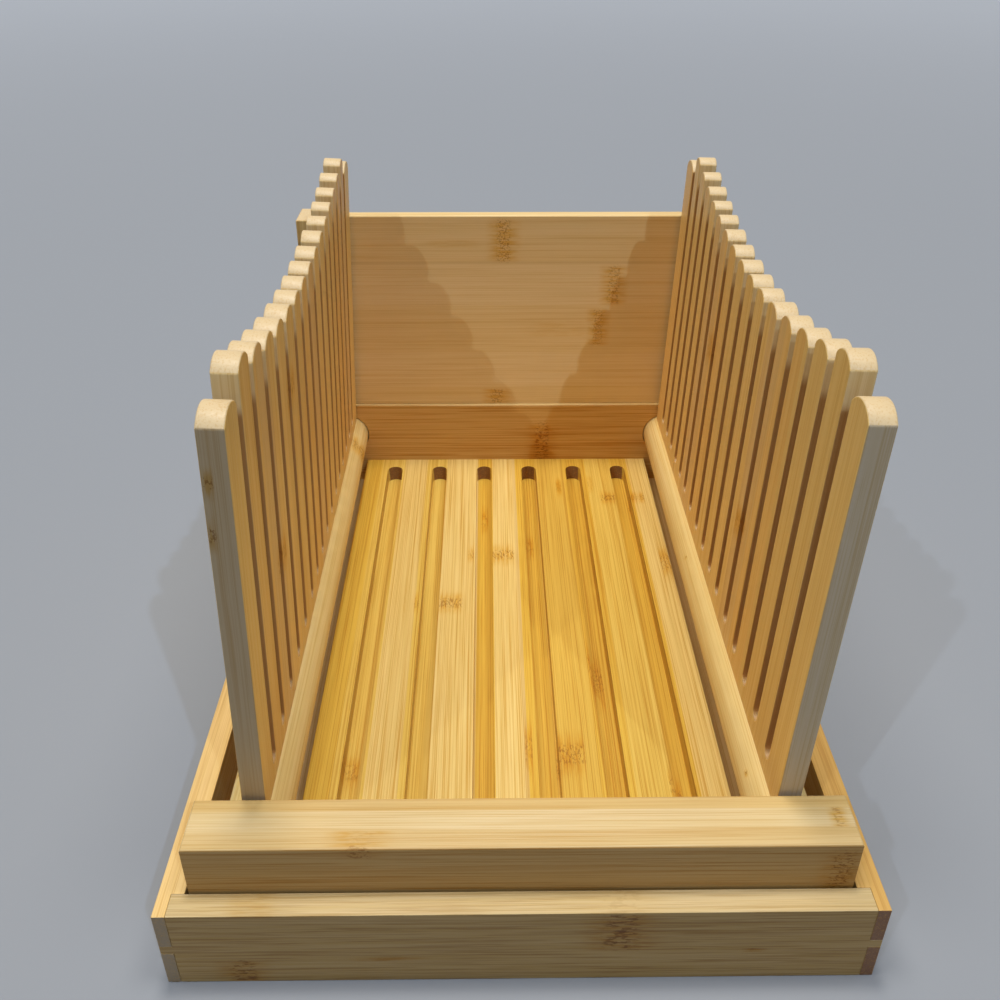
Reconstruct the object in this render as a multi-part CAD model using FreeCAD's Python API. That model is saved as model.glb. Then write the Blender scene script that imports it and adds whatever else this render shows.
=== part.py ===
"""Folding bread slicer guide in laminated bamboo.

A shallow crumb tray holds a lift-out cutting frame. The frame is a grooved board between two bars.
Two slotted combs stand on round rails that turn in the bars, so that each comb folds inward over
the board. A back panel drops into grooved posts on the rear bar.

The frame of the model: origin at the middle of the tray's underside, +X to the right, +Y towards
the back panel, +Z up. All sizes are in millimetres.
"""
import FreeCAD, Part
import math
import os

Vector = FreeCAD.Vector

# ---- Combs: the slots set the length of everything else -------------------------------------
SLICE_THICKNESSES = (18.0, 16.0, 14.0)   # slot spacing of each group, front to back
SLICES_PER_GROUP = 5
SLOT_WIDTH = 5.2
END_TINE_WIDTH = 14.9
COMB_THICKNESS = 7.8
COMB_FRONT_RISE = 17.0                   # the tine next to the front one, above the middle ones
COMB_REAR_RISE = 12.8                    # the tine next to the rear one, above the middle ones
END_TINE_DROP = 5.5                      # the end tines are this much lower than their neighbours
TIP_ARC_RATIO = 0.625                    # radius of a tine's rounded tip, as a share of its width
COMB_INSET = 0.8                         # from a rail's axis inward to the comb's middle plane
COMB_END_PLAY = 1.0                      # between a comb's end and a bar
TIP_CLEARANCE = 3.5                      # between a folded comb's tip and the other rail
SLOT_FOOT_ABOVE_RAIL = 5.1
LEFT_COMB_LEAN = 2.4                     # degrees from upright, positive is inward
RIGHT_COMB_LEAN = -1.5

# ---- Rails: round pivots under the combs ----------------------------------------------------
RAIL_SPACING = 174.8                     # between the two rails' axes
RAIL_RADIUS = 10.8
RAIL_BORE_PLAY = 0.4                     # radial, a loose wooden pivot
RAIL_BORE_DEPTH = 12.0
RAIL_END_PLAY = 1.0
RAIL_ABOVE_BOARD = 5.6
RAIL_END_CHAMFER = 0.8
GLUE_GAP = 0.05

# ---- Bars and board -------------------------------------------------------------------------
BAR_DEPTH = 20.0
BAR_ABOVE_RAIL = 7.0
BAR_BEYOND_AXIS = 17.2                   # from a rail's axis to the end of the bar
BOARD_WIDTH = 155.6
BOARD_THICKNESS = 11.0
BOARD_ABOVE_FLOOR = 2.0
GROOVE_COUNT = 6
GROOVE_PITCH = 24.6
GROOVE_WIDTH = 8.2
GROOVE_DEPTH = 8.0
GROOVE_END_MARGIN = 8.0
BOARD_DOWEL_RADIUS = 3.0
BOARD_DOWEL_LENGTH = 24.0

# ---- Back panel and its posts ---------------------------------------------------------------
PANEL_HEIGHT = 103.8
PANEL_THICKNESS = 6.7
PANEL_SET_BACK = 1.9                     # behind the rear bar's inner face
PANEL_SIDE_PLAY = 0.4
PANEL_FACE_PLAY = 0.2
POST_WIDTH = 13.6
POST_BELOW_PANEL_TOP = 1.5
POST_GROOVE_DEPTH = 5.0
POST_DOWEL_RADIUS = 2.5
POST_DOWEL_LENGTH = 20.0
POST_DOWEL_FROM_END = 5.0

# ---- Crumb tray -----------------------------------------------------------------------------
TRAY_HEIGHT = 33.0
TRAY_WALL = 8.4
TRAY_SIDE_PLAY = 1.0
TRAY_END_PLAY = 0.6
TONGUE_HEIGHT = 3.4
FLOOR_THICKNESS = 3.0
FLOOR_INSET = 2.2                        # the floor's underside above the walls' foot
FLOOR_GROOVE_DEPTH = 4.0
FLOOR_GROOVE_PLAY = 0.1

EDGE_ROUND = 0.8                         # eased edges of bars, posts, panel and tray

# ---- Worked out from the sizes above --------------------------------------------------------
SLICE_PITCHES = [pitch for pitch in SLICE_THICKNESSES for _ in range(SLICES_PER_GROUP)]
COMB_LENGTH = 2 * END_TINE_WIDTH + SLOT_WIDTH + sum(SLICE_PITCHES)
CLEAR_LENGTH = COMB_LENGTH + 2 * COMB_END_PLAY
AXIS_X = RAIL_SPACING / 2
COMB_MIDDLE_X = AXIS_X - COMB_INSET

FLOOR_TOP = FLOOR_INSET + FLOOR_THICKNESS
BOARD_BOTTOM = FLOOR_TOP + BOARD_ABOVE_FLOOR
BOARD_TOP = BOARD_BOTTOM + BOARD_THICKNESS
AXIS_Z = BOARD_TOP + RAIL_ABOVE_BOARD + RAIL_RADIUS
RAIL_TOP = AXIS_Z + RAIL_RADIUS
BAR_TOP = RAIL_TOP + BAR_ABOVE_RAIL
SLOT_FOOT = RAIL_TOP + SLOT_FOOT_ABOVE_RAIL
COMB_PEAK = AXIS_Z + 2 * AXIS_X - RAIL_RADIUS - TIP_CLEARANCE

BAR_HALF_LENGTH = AXIS_X + BAR_BEYOND_AXIS
BAR_INNER_Y = CLEAR_LENGTH / 2
BAR_OUTER_Y = BAR_INNER_Y + BAR_DEPTH
TRAY_INNER_HALF_WIDTH = BAR_HALF_LENGTH + TRAY_SIDE_PLAY
TRAY_INNER_HALF_LENGTH = BAR_OUTER_Y + TRAY_END_PLAY
TRAY_HALF_WIDTH = TRAY_INNER_HALF_WIDTH + TRAY_WALL
TRAY_HALF_LENGTH = TRAY_INNER_HALF_LENGTH + TRAY_WALL
TRAY_LAP = TRAY_WALL / 2

PANEL_FRONT_Y = BAR_INNER_Y + PANEL_SET_BACK
PANEL_BACK_Y = PANEL_FRONT_Y + PANEL_THICKNESS
POST_INNER_X = BAR_HALF_LENGTH - POST_WIDTH
POST_TOP = BAR_TOP + PANEL_HEIGHT - POST_BELOW_PANEL_TOP


# ---- Small helpers --------------------------------------------------------------------------
def block(x_range, y_range, z_range):
    """A box between two values on each axis."""
    size = [high - low for low, high in (x_range, y_range, z_range)]
    corner = Vector(x_range[0], y_range[0], z_range[0])
    return Part.makeBox(size[0], size[1], size[2], corner)


def rod(radius, start, direction, length):
    """A round rod from a point along a direction."""
    return Part.makeCylinder(radius, length, start, direction)


def ease_edges(shape, chosen):
    """Round the edges for which chosen(edge) is true."""
    edges = [edge for edge in shape.Edges if chosen(edge)]
    return shape.makeFillet(EDGE_ROUND, edges)


def along(edge, axis):
    """True if a straight edge runs along the axis "x", "y" or "z"."""
    start, end = edge.Vertexes[0].Point, edge.Vertexes[-1].Point
    run = end - start
    other_axes = [name for name in "xyz" if name != axis]
    return all(abs(getattr(run, name)) < 1e-6 for name in other_axes)


def edge_at_height(edge, height):
    """True if the whole edge lies at one height."""
    return all(abs(vertex.Z - height) < 1e-6 for vertex in edge.Vertexes)


def mirrored(shape):
    """The same shape on the other side of the middle plane."""
    return shape.mirror(Vector(0, 0, 0), Vector(1, 0, 0))


# ---- Crumb tray -----------------------------------------------------------------------------
def tongue_range():
    """Heights between which the end walls' tongues cross the side walls."""
    middle = TRAY_HEIGHT / 2
    return (middle - TONGUE_HEIGHT / 2, middle + TONGUE_HEIGHT / 2)


def floor_groove_cutter(half_width, half_length):
    """What the floor's groove takes out of the four walls."""
    low = FLOOR_INSET - FLOOR_GROOVE_PLAY
    high = FLOOR_TOP + FLOOR_GROOVE_PLAY
    return block((-half_width, half_width), (-half_length, half_length), (low, high))


def tray_side_wall():
    """The right-hand wall, whose outer layer laps over the ends of the front and rear walls."""
    wall = block((TRAY_INNER_HALF_WIDTH, TRAY_HALF_WIDTH),
                 (-TRAY_HALF_LENGTH, TRAY_HALF_LENGTH), (0, TRAY_HEIGHT))
    lap_x = TRAY_HALF_WIDTH - TRAY_LAP
    for end in (-1, 1):
        ends = sorted((end * TRAY_INNER_HALF_LENGTH, end * TRAY_HALF_LENGTH))
        wall = wall.cut(block((TRAY_INNER_HALF_WIDTH, lap_x), ends, (0, TRAY_HEIGHT)))
        wall = wall.cut(block((lap_x, TRAY_HALF_WIDTH), ends, tongue_range()))
    return wall.cut(floor_groove_cutter(TRAY_INNER_HALF_WIDTH + FLOOR_GROOVE_DEPTH,
                                        TRAY_INNER_HALF_LENGTH))


def tray_end_wall(side):
    """The front (-1) or rear (1) wall, with a tongue at each end."""
    depth = sorted((side * TRAY_INNER_HALF_LENGTH, side * TRAY_HALF_LENGTH))
    body_x = TRAY_HALF_WIDTH - TRAY_LAP
    wall = block((-body_x, body_x), depth, (0, TRAY_HEIGHT))
    wall = wall.fuse(block((-TRAY_HALF_WIDTH, TRAY_HALF_WIDTH), depth, tongue_range()))
    return wall.cut(floor_groove_cutter(body_x, TRAY_INNER_HALF_LENGTH + FLOOR_GROOVE_DEPTH))


def tray_floor():
    """The thin sheet held in the walls' grooves."""
    reach = FLOOR_GROOVE_DEPTH - FLOOR_GROOVE_PLAY
    half_width = TRAY_INNER_HALF_WIDTH + reach
    half_length = TRAY_INNER_HALF_LENGTH + reach
    return block((-half_width, half_width), (-half_length, half_length), (FLOOR_INSET, FLOOR_TOP))


# ---- Cutting frame --------------------------------------------------------------------------
# X of each board dowel, in the lands between the grooves.
BOARD_DOWEL_PLACES = {"left": -2 * GROOVE_PITCH, "middle": 0.0, "right": 2 * GROOVE_PITCH}


def board_dowel(side, x, play=0.0):
    """One dowel between the board and the front (-1) or rear (1) bar."""
    start_y = side * BAR_INNER_Y - BOARD_DOWEL_LENGTH / 2 - play
    start = Vector(x, start_y, (BOARD_TOP + BOARD_BOTTOM) / 2)
    return rod(BOARD_DOWEL_RADIUS + play, start, Vector(0, 1, 0), BOARD_DOWEL_LENGTH + 2 * play)


def bar(side):
    """The front (-1) or rear (1) bar, with a blind bore for each rail."""
    depth = sorted((side * BAR_INNER_Y, side * BAR_OUTER_Y))
    piece = block((-BAR_HALF_LENGTH, BAR_HALF_LENGTH), depth, (FLOOR_TOP, BAR_TOP))
    piece = ease_edges(piece, lambda edge: edge_at_height(edge, BAR_TOP))
    for rail_x in (-AXIS_X, AXIS_X):
        mouth = Vector(rail_x, side * BAR_INNER_Y, AXIS_Z)
        piece = piece.cut(rod(RAIL_RADIUS + RAIL_BORE_PLAY, mouth, Vector(0, side, 0),
                              RAIL_BORE_DEPTH))
    for x in BOARD_DOWEL_PLACES.values():
        piece = piece.cut(board_dowel(side, x, GLUE_GAP))
    return piece


def crumb_groove(x):
    """What a crumb groove with round ends takes out of the board."""
    half_length = BAR_INNER_Y - GROOVE_END_MARGIN
    radius = GROOVE_WIDTH / 2
    floor_z = BOARD_TOP - GROOVE_DEPTH
    cutter = block((x - radius, x + radius), (radius - half_length, half_length - radius),
                   (floor_z, BOARD_TOP))
    for end_y in (radius - half_length, half_length - radius):
        cutter = cutter.fuse(rod(radius, Vector(x, end_y, floor_z), Vector(0, 0, 1),
                                 GROOVE_DEPTH))
    return cutter


def cutting_board():
    """The grooved board between the bars."""
    board = block((-BOARD_WIDTH / 2, BOARD_WIDTH / 2), (-BAR_INNER_Y, BAR_INNER_Y),
                  (BOARD_BOTTOM, BOARD_TOP))
    for index in range(GROOVE_COUNT):
        board = board.cut(crumb_groove((index - (GROOVE_COUNT - 1) / 2) * GROOVE_PITCH))
    for side in (-1, 1):
        for x in BOARD_DOWEL_PLACES.values():
            board = board.cut(board_dowel(side, x, GLUE_GAP))
    return board


# ---- Back panel and posts -------------------------------------------------------------------
def post_dowel(play=0.0):
    """The dowel between the rear bar and the right-hand post."""
    x = BAR_HALF_LENGTH - POST_DOWEL_FROM_END
    foot = Vector(x, (BAR_INNER_Y + BAR_OUTER_Y) / 2, BAR_TOP - POST_DOWEL_LENGTH / 2 - play)
    return rod(POST_DOWEL_RADIUS + play, foot, Vector(0, 0, 1), POST_DOWEL_LENGTH + 2 * play)


def post():
    """The right-hand post, with a groove for the panel that is open at the top."""
    piece = block((POST_INNER_X, BAR_HALF_LENGTH), (BAR_INNER_Y, BAR_OUTER_Y), (BAR_TOP, POST_TOP))
    piece = ease_edges(piece, lambda edge: edge_at_height(edge, POST_TOP))
    groove = block((POST_INNER_X, POST_INNER_X + POST_GROOVE_DEPTH),
                   (PANEL_FRONT_Y - PANEL_FACE_PLAY, PANEL_BACK_Y + PANEL_FACE_PLAY),
                   (BAR_TOP, POST_TOP))
    return piece.cut(groove).cut(post_dowel(GLUE_GAP))


def rear_bar():
    """The rear bar, which also takes the posts' dowels."""
    piece = bar(1)
    for dowel in (post_dowel(GLUE_GAP), mirrored(post_dowel(GLUE_GAP))):
        piece = piece.cut(dowel)
    return piece


def back_panel():
    """The panel that drops into the posts' grooves and stands on the rear bar."""
    half_width = POST_INNER_X + POST_GROOVE_DEPTH - PANEL_SIDE_PLAY
    top = BAR_TOP + PANEL_HEIGHT
    panel = block((-half_width, half_width), (PANEL_FRONT_Y, PANEL_BACK_Y), (BAR_TOP, top))
    return ease_edges(panel, lambda edge: edge_at_height(edge, top) and along(edge, "x"))


# ---- Combs ----------------------------------------------------------------------------------
def tine_spans():
    """The front and back Y of every tine, front to back."""
    spans = [(-COMB_LENGTH / 2, -COMB_LENGTH / 2 + END_TINE_WIDTH)]
    for pitch in SLICE_PITCHES:
        slot_start = spans[-1][1]
        spans.append((slot_start + SLOT_WIDTH, slot_start + pitch))
    spans.append((COMB_LENGTH / 2 - END_TINE_WIDTH, COMB_LENGTH / 2))
    return spans


def tine_tops(spans):
    """The height of every tine: a shallow dip between two peaks, and lower end tines."""
    middles = [(front + back) / 2 for front, back in spans]
    centre = (middles[1] + middles[-2]) / 2
    half_chord = (middles[-2] - middles[1]) / 2
    lowest = COMB_PEAK - max(COMB_FRONT_RISE, COMB_REAR_RISE)
    tops = []
    for middle in middles[1:-1]:
        rise = COMB_FRONT_RISE if middle < centre else COMB_REAR_RISE
        tops.append(lowest + rise * ((middle - centre) / half_chord) ** 2)
    return [tops[0] - END_TINE_DROP] + tops + [tops[-1] - END_TINE_DROP]


def arc(start, middle, end):
    """An arc edge through three (y, z) points in the comb's plane."""
    return Part.Arc(*[Vector(0, y, z) for y, z in (start, middle, end)]).toShape()


def line(start, end):
    """A straight edge between two (y, z) points in the comb's plane."""
    return Part.LineSegment(Vector(0, *start), Vector(0, *end)).toShape()


def tip_rise(width):
    """How far the arc across a tine's tip rises above its shoulders."""
    radius = TIP_ARC_RATIO * width
    return radius - math.sqrt(radius ** 2 - (width / 2) ** 2)


def comb_outline():
    """The comb's closed outline: tines with arched tips, and slots with round feet."""
    spans = tine_spans()
    tops = tine_tops(spans)
    edges = []
    pen = (-COMB_LENGTH / 2, AXIS_Z + GLUE_GAP)
    for index, ((front, back), top) in enumerate(zip(spans, tops)):
        shoulder = top - tip_rise(back - front)
        edges.append(line(pen, (front, shoulder)))
        edges.append(arc((front, shoulder), ((front + back) / 2, top), (back, shoulder)))
        pen = (back, shoulder)
        if index < len(spans) - 1:
            slot_radius = SLOT_WIDTH / 2
            slot_start = (back, SLOT_FOOT + slot_radius)
            slot_end = (back + SLOT_WIDTH, SLOT_FOOT + slot_radius)
            edges.append(line(pen, slot_start))
            edges.append(arc(slot_start, (back + slot_radius, SLOT_FOOT), slot_end))
            pen = slot_end
    foot = (COMB_LENGTH / 2, AXIS_Z + GLUE_GAP)
    edges.append(line(pen, foot))
    edges.append(line(foot, (-COMB_LENGTH / 2, AXIS_Z + GLUE_GAP)))
    return Part.Wire(edges)


def upright_comb():
    """The right-hand comb before it leans."""
    plate = Part.Face(comb_outline()).extrude(Vector(COMB_THICKNESS, 0, 0))
    plate.translate(Vector(COMB_MIDDLE_X - COMB_THICKNESS / 2, 0, 0))
    return plate


def upright_rail():
    """The right-hand rail, grooved along its top for the comb and round at its ends."""
    half_length = BAR_INNER_Y + RAIL_BORE_DEPTH - RAIL_END_PLAY
    rail = rod(RAIL_RADIUS, Vector(AXIS_X, -half_length, AXIS_Z), Vector(0, 1, 0), 2 * half_length)
    rail = rail.makeChamfer(RAIL_END_CHAMFER, [edge for edge in rail.Edges if edge.isClosed()])
    half_groove = COMB_THICKNESS / 2 + GLUE_GAP
    return rail.cut(block((COMB_MIDDLE_X - half_groove, COMB_MIDDLE_X + half_groove),
                          (-COMB_LENGTH / 2 - GLUE_GAP, COMB_LENGTH / 2 + GLUE_GAP),
                          (AXIS_Z, RAIL_TOP)))


def leaning(shape, inward_degrees):
    """A right-hand shape turned inward about its rail's axis."""
    turned = shape.copy()
    turned.rotate(Vector(AXIS_X, 0, AXIS_Z), Vector(0, -1, 0), inward_degrees)
    return turned


# ---- All nodes ------------------------------------------------------------------------------
def build_nodes():
    """Every node of the model by name."""
    comb = upright_comb()
    rail = upright_rail()
    side_wall = tray_side_wall()
    right_post = post()
    right_post_dowel = post_dowel()
    nodes = {
        "crumb_tray_front_wall": tray_end_wall(-1),
        "crumb_tray_rear_wall": tray_end_wall(1),
        "crumb_tray_left_wall": mirrored(side_wall),
        "crumb_tray_right_wall": side_wall,
        "crumb_tray_floor": tray_floor(),
        "front_bar": bar(-1),
        "rear_bar": rear_bar(),
        "cutting_board": cutting_board(),
        "left_post": mirrored(right_post),
        "right_post": right_post,
        "left_post_dowel": mirrored(right_post_dowel),
        "right_post_dowel": right_post_dowel,
        "back_panel": back_panel(),
        "left_comb": mirrored(leaning(comb, LEFT_COMB_LEAN)),
        "left_rail": mirrored(leaning(rail, LEFT_COMB_LEAN)),
        "right_comb": leaning(comb, RIGHT_COMB_LEAN),
        "right_rail": leaning(rail, RIGHT_COMB_LEAN),
    }
    for place, x in BOARD_DOWEL_PLACES.items():
        nodes["front_board_dowel_" + place] = board_dowel(-1, x)
        nodes["rear_board_dowel_" + place] = board_dowel(1, x)
    return nodes


os.makedirs("parts", exist_ok=True)
for node_name, node_shape in build_nodes().items():
    node_shape.exportStep("parts/" + node_name + ".step")
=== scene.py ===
"""A bread slicing guide in bamboo, dressed, lit and ready for its picture."""

import logging
import math
from dataclasses import dataclass, replace
from enum import Enum

import bpy
from mathutils import Matrix, Vector

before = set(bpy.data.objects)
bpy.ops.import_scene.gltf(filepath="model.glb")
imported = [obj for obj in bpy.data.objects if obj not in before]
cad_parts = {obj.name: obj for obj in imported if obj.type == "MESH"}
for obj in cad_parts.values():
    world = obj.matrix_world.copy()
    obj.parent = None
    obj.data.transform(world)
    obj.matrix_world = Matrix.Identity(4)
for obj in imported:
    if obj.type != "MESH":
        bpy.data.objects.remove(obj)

log = logging.getLogger("slicing_guide")
MM = 0.001
Socket = bpy.types.NodeSocket
Places = tuple[Socket, Socket, Socket]
Pair = tuple[float, float]
Triple = tuple[float, float, float]
Stops = list[tuple[float, tuple[float, ...]]]


class Axis(Enum):
    """A direction of the guide: across it, along it or up it."""

    X = 0
    Y = 1
    Z = 2


class Side(Enum):
    """A side of the guide, as seen from its front."""

    LEFT = "left"
    RIGHT = "right"


class End(Enum):
    """An end of the guide."""

    FRONT = "front"
    REAR = "rear"


class Tone(Enum):
    """The bamboo's tones, as 8-bit sRGB."""

    CREAM = (234, 204, 129)
    HONEY = (230, 195, 96)
    GOLDEN = (224, 185, 83)
    AMBER = (225, 183, 72)
    IVORY = (227, 202, 154)
    OAT = (221, 192, 139)
    LINEN = (215, 190, 143)
    WHEAT = (219, 186, 123)
    # Painted shade: TOFFEE warms and darkens the right tray wall's top, which lies in the right
    # comb's shade.
    TOFFEE = (221, 175, 98)
    # Painted shade: BISCUIT and HAZEL darken the bars' upright faces against their tops.
    BISCUIT = (221, 175, 103)
    HAZEL = (184, 146, 88)
    # Painted shade: ALMOND darkens the tray walls' upright faces against their paler tops.
    ALMOND = (176, 143, 88)
    # Painted shade: ASH and STONE grey and darken the combs' two end faces, STONE paler for the
    # better-lit right comb.
    ASH = (182, 157, 121)
    STONE = (198, 177, 146)
    # Painted shade: COCOA browns the combs' slot walls, standing in for shade and warm light
    # bounced between the tines.
    COCOA = (196, 146, 84)
    APRICOT = (248, 205, 124)
    MAIZE = (252, 214, 134)
    CORN = (246, 208, 128)
    STRAW = (242, 204, 136)
    LEMON = (245, 217, 148)
    # Painted highlight: CREST is the near-white line along the back panel's top edge.
    CREST = (252, 237, 202)
    PALE = (238, 210, 152)
    # BUFF is the panel's own tone, and also the painted light on the combs' upper slot walls.
    BUFF = (243, 211, 152)
    SAND = (240, 206, 143)
    END_GRAIN = (223, 195, 148)
    DRY_END = (152, 130, 100)
    # Painted shade: RUSSET_END darkens the right tray wall's end grain, on the shaded side.
    RUSSET_END = (128, 88, 58)
    BURNT_END = (134, 92, 50)
    # Painted shade: a darker end-grain tone for the slot feet, deep between the tines.
    SLOT_FOOT_SHADE = (186, 146, 92)
    PORE = (198, 146, 60)
    SEAM = (170, 118, 56)

    def linear(self) -> tuple[float, float, float, float]:
        """Gives the tone as scene-linear RGBA."""
        return (*(to_linear(channel / 255) for channel in self.value), 1.0)


def to_linear(value: float) -> float:
    """Turns one sRGB channel into scene-linear light.

    Args:
        value: The channel, from 0 to 1.

    Returns:
        The linear value, from 0 to 1.
    """
    if value <= 0.04045:
        return value / 12.92
    return ((value + 0.055) / 1.055) ** 2.4


@dataclass(frozen=True)
class Strip:
    """One glued strip: where it starts across the board, in mm, and its tone."""

    start: float
    tone: Tone


@dataclass(frozen=True)
class Knuckle:
    """A brown, mottled ring of the cane, cut through where it shows on a face.

    Sizes are in mm, along the grain and across the strips. The strength is of its
    dark dots and the stain is of the amber round them. A ring that doesn't go right
    through the part also has its middle and its reach through the strips.
    """

    along: float
    across: float
    length: float = 9.0
    width: float = 11.0
    strength: float = 0.8
    through: float = 0.0
    reach: float = 0.0
    stain: float = 1.0


@dataclass(frozen=True)
class Pattern:
    """A blotchy pattern in the wood, stretched by its rates, in blots per mm.

    It is off where its noise is below low, and full where it is above high.
    """

    rates: Triple
    detail: float
    roughness: float
    low: float
    high: float

    def paced(self, along: float, across: float) -> "Pattern":
        """Gives the pattern with other rates along the grain and across it."""
        return replace(self, rates=(along, across, self.rates[2]))


FIBRES = Pattern((0.012, 0.55, 1.0), 3.0, 0.7, 0.34, 0.66)
LINES = Pattern((0.005, 2.4, 1.9), 2.0, 0.7, 0.48, 0.57)
CLOUDS = Pattern((0.008, 0.09, 1.0), 2.0, 0.5, 0.32, 0.68)
FLAMES = Pattern((0.1, 0.75, 1.0), 2.0, 0.6, 0.4, 0.6)
MOTTLE = Pattern((0.5, 1.4, 1.3), 2.0, 0.65, 0.49, 0.6)
PORES = Pattern((1.7, 1.7, 0.08), 2.0, 0.6, 0.5, 0.7)


# How squarely a face looks along the grain where end grain starts, and where it is full.
# The eased edges of a squared piece don't count as end grain.
ROUNDED = (0.4, 0.62)
SQUARE = (0.75, 0.9)
# The same for a face that looks along the strips' own axis.
SIDEWAYS = (0.6, 0.8)
# Where a knuckle's patch and its stain start to fade and have faded out, as shares of its
# half length, its half width and its reach.
PATCH_FADE = (0.55, 1.1)
STAIN_FADE = (0.6, 2.6)
WIDTH_FADE = (0.8, 1.08)
REACH_FADE = (0.6, 1.2)
# How fast the fibres wander along the grain and across it, in turns per mm.
WANDER = (0.006, 0.04)
GOLDEN_RATIO = 0.618
# The Mix node's inputs for its factor and its two colours, and its output for a colour.
MIX_INPUTS = (0, 6, 7)
MIX_OUTPUT = 2


class ShaderGraph:
    """Adds shader nodes to one material or world and joins them up."""

    def __init__(self, owner: bpy.types.Material | bpy.types.World) -> None:
        """Clears the owner's node tree.

        Args:
            owner: The material or world that the nodes are for.
        """
        owner.use_nodes = True
        self.tree = owner.node_tree
        self.tree.nodes.clear()

    def add(self, kind: str, **settings: object) -> bpy.types.Node:
        """Adds a node.

        Args:
            kind: Blender's name for the node's class.
            settings: Properties to set on it.

        Returns:
            The new node.
        """
        node = self.tree.nodes.new(kind)
        for name, value in settings.items():
            setattr(node, name, value)
        return node

    def feed(self, socket: Socket, value: object) -> None:
        """Links a socket to its source, or sets its value.

        Args:
            socket: The input to fill.
            value: Another node's output, or a plain value.
        """
        if isinstance(value, Socket):
            self.tree.links.new(value, socket)
        else:
            socket.default_value = value

    def math(self, operation: str, *values: object) -> Socket:
        """Works out a sum on plain values.

        Args:
            operation: The Math node's operation.
            values: Its inputs, in order.

        Returns:
            The answer's socket.
        """
        node = self.add("ShaderNodeMath", operation=operation)
        for socket, value in zip(node.inputs, values):
            self.feed(socket, value)
        return node.outputs[0]

    def times(self, first: object, second: object) -> Socket:
        """Multiplies two values."""
        return self.math("MULTIPLY", first, second)

    def vector(self, x: object, y: object, z: object) -> Socket:
        """Puts three values together as a vector.

        Args:
            x: The first value.
            y: The second value.
            z: The third value.

        Returns:
            The vector's socket.
        """
        node = self.add("ShaderNodeCombineXYZ")
        for socket, value in zip(node.inputs, (x, y, z)):
            self.feed(socket, value)
        return node.outputs[0]

    def noise(self, vector: Socket, detail: float, roughness: float = 0.5) -> Socket:
        """Samples smooth noise at a vector.

        Args:
            vector: Where to sample, in units of one blot.
            detail: How many finer layers are added.
            roughness: How strong the finer layers are.

        Returns:
            The noise, about 0.5.
        """
        node = self.add("ShaderNodeTexNoise")
        settings = {"Vector": vector, "Scale": 1.0, "Detail": detail, "Roughness": roughness}
        for name, value in settings.items():
            self.feed(node.inputs[name], value)
        return node.outputs["Fac"]

    def smooth(
        self, value: Socket, low: float, high: float, start: float = 0.0, end: float = 1.0
    ) -> Socket:
        """Turns a value softly from one level to another.

        Args:
            value: The value that decides.
            low: Where it starts to turn.
            high: Where it has turned.
            start: The level below low.
            end: The level above high.

        Returns:
            The level's socket.
        """
        node = self.add("ShaderNodeMapRange", interpolation_type="SMOOTHSTEP")
        for socket, item in zip(node.inputs, (value, low, high, start, end)):
            self.feed(socket, item)
        return node.outputs[0]

    def pattern(self, places: Places, kind: Pattern) -> Socket:
        """Lays a pattern over the wood.

        Args:
            places: The three distances that it is laid on, in mm.
            kind: The pattern.

        Returns:
            The pattern's level, from 0 to 1.
        """
        paced = (
            place if rate == 1.0 else self.times(place, rate)
            for place, rate in zip(places, kind.rates)
        )
        blots = self.noise(self.vector(*paced), kind.detail, kind.roughness)
        return self.smooth(blots, kind.low, kind.high)

    def steps(self, value: Socket, stops: Stops) -> Socket:
        """Looks a value up in a table of flat colours.

        Args:
            value: The value, from 0 to 1.
            stops: Where each colour starts, and the colour.

        Returns:
            The colour's socket.
        """
        node = self.add("ShaderNodeValToRGB")
        ramp = node.color_ramp
        ramp.interpolation = "CONSTANT"
        while len(ramp.elements) > 1:
            ramp.elements.remove(ramp.elements[-1])
        ramp.elements[0].position = 0.0
        ramp.elements[0].color = stops[0][1]
        for position, colour in stops[1:]:
            ramp.elements.new(min(max(position, 0.0), 1.0)).color = colour
        self.feed(node.inputs[0], value)
        return node.outputs[0]

    def mix(self, factor: object, first: object, second: object, blend: str = "MIX") -> Socket:
        """Mixes two colours.

        Args:
            factor: How much of the second, from 0 to 1.
            first: The colour at 0.
            second: The colour at 1.
            blend: The Mix node's way of mixing.

        Returns:
            The mixed colour's socket.
        """
        node = self.add("ShaderNodeMix", data_type="RGBA", blend_type=blend)
        for index, value in zip(MIX_INPUTS, (factor, first, second)):
            self.feed(node.inputs[index], value)
        return node.outputs[MIX_OUTPUT]

    def tinted(self, colour: Socket, level: object, tint: Triple) -> Socket:
        """Multiplies a colour by a tint in linear light, as far as a level from 0 to 1 says."""
        return self.mix(level, colour, self.mix(1.0, colour, (*tint, 1.0), "MULTIPLY"))


@dataclass(frozen=True)
class Relief:
    """How deep the wood's surface is, in mm, and the share that each pattern has in it."""

    strength: float = 0.22
    depth: float = 0.25
    lines: float = 0.5
    fibres: float = 0.35
    dots: float = 0.5


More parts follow.
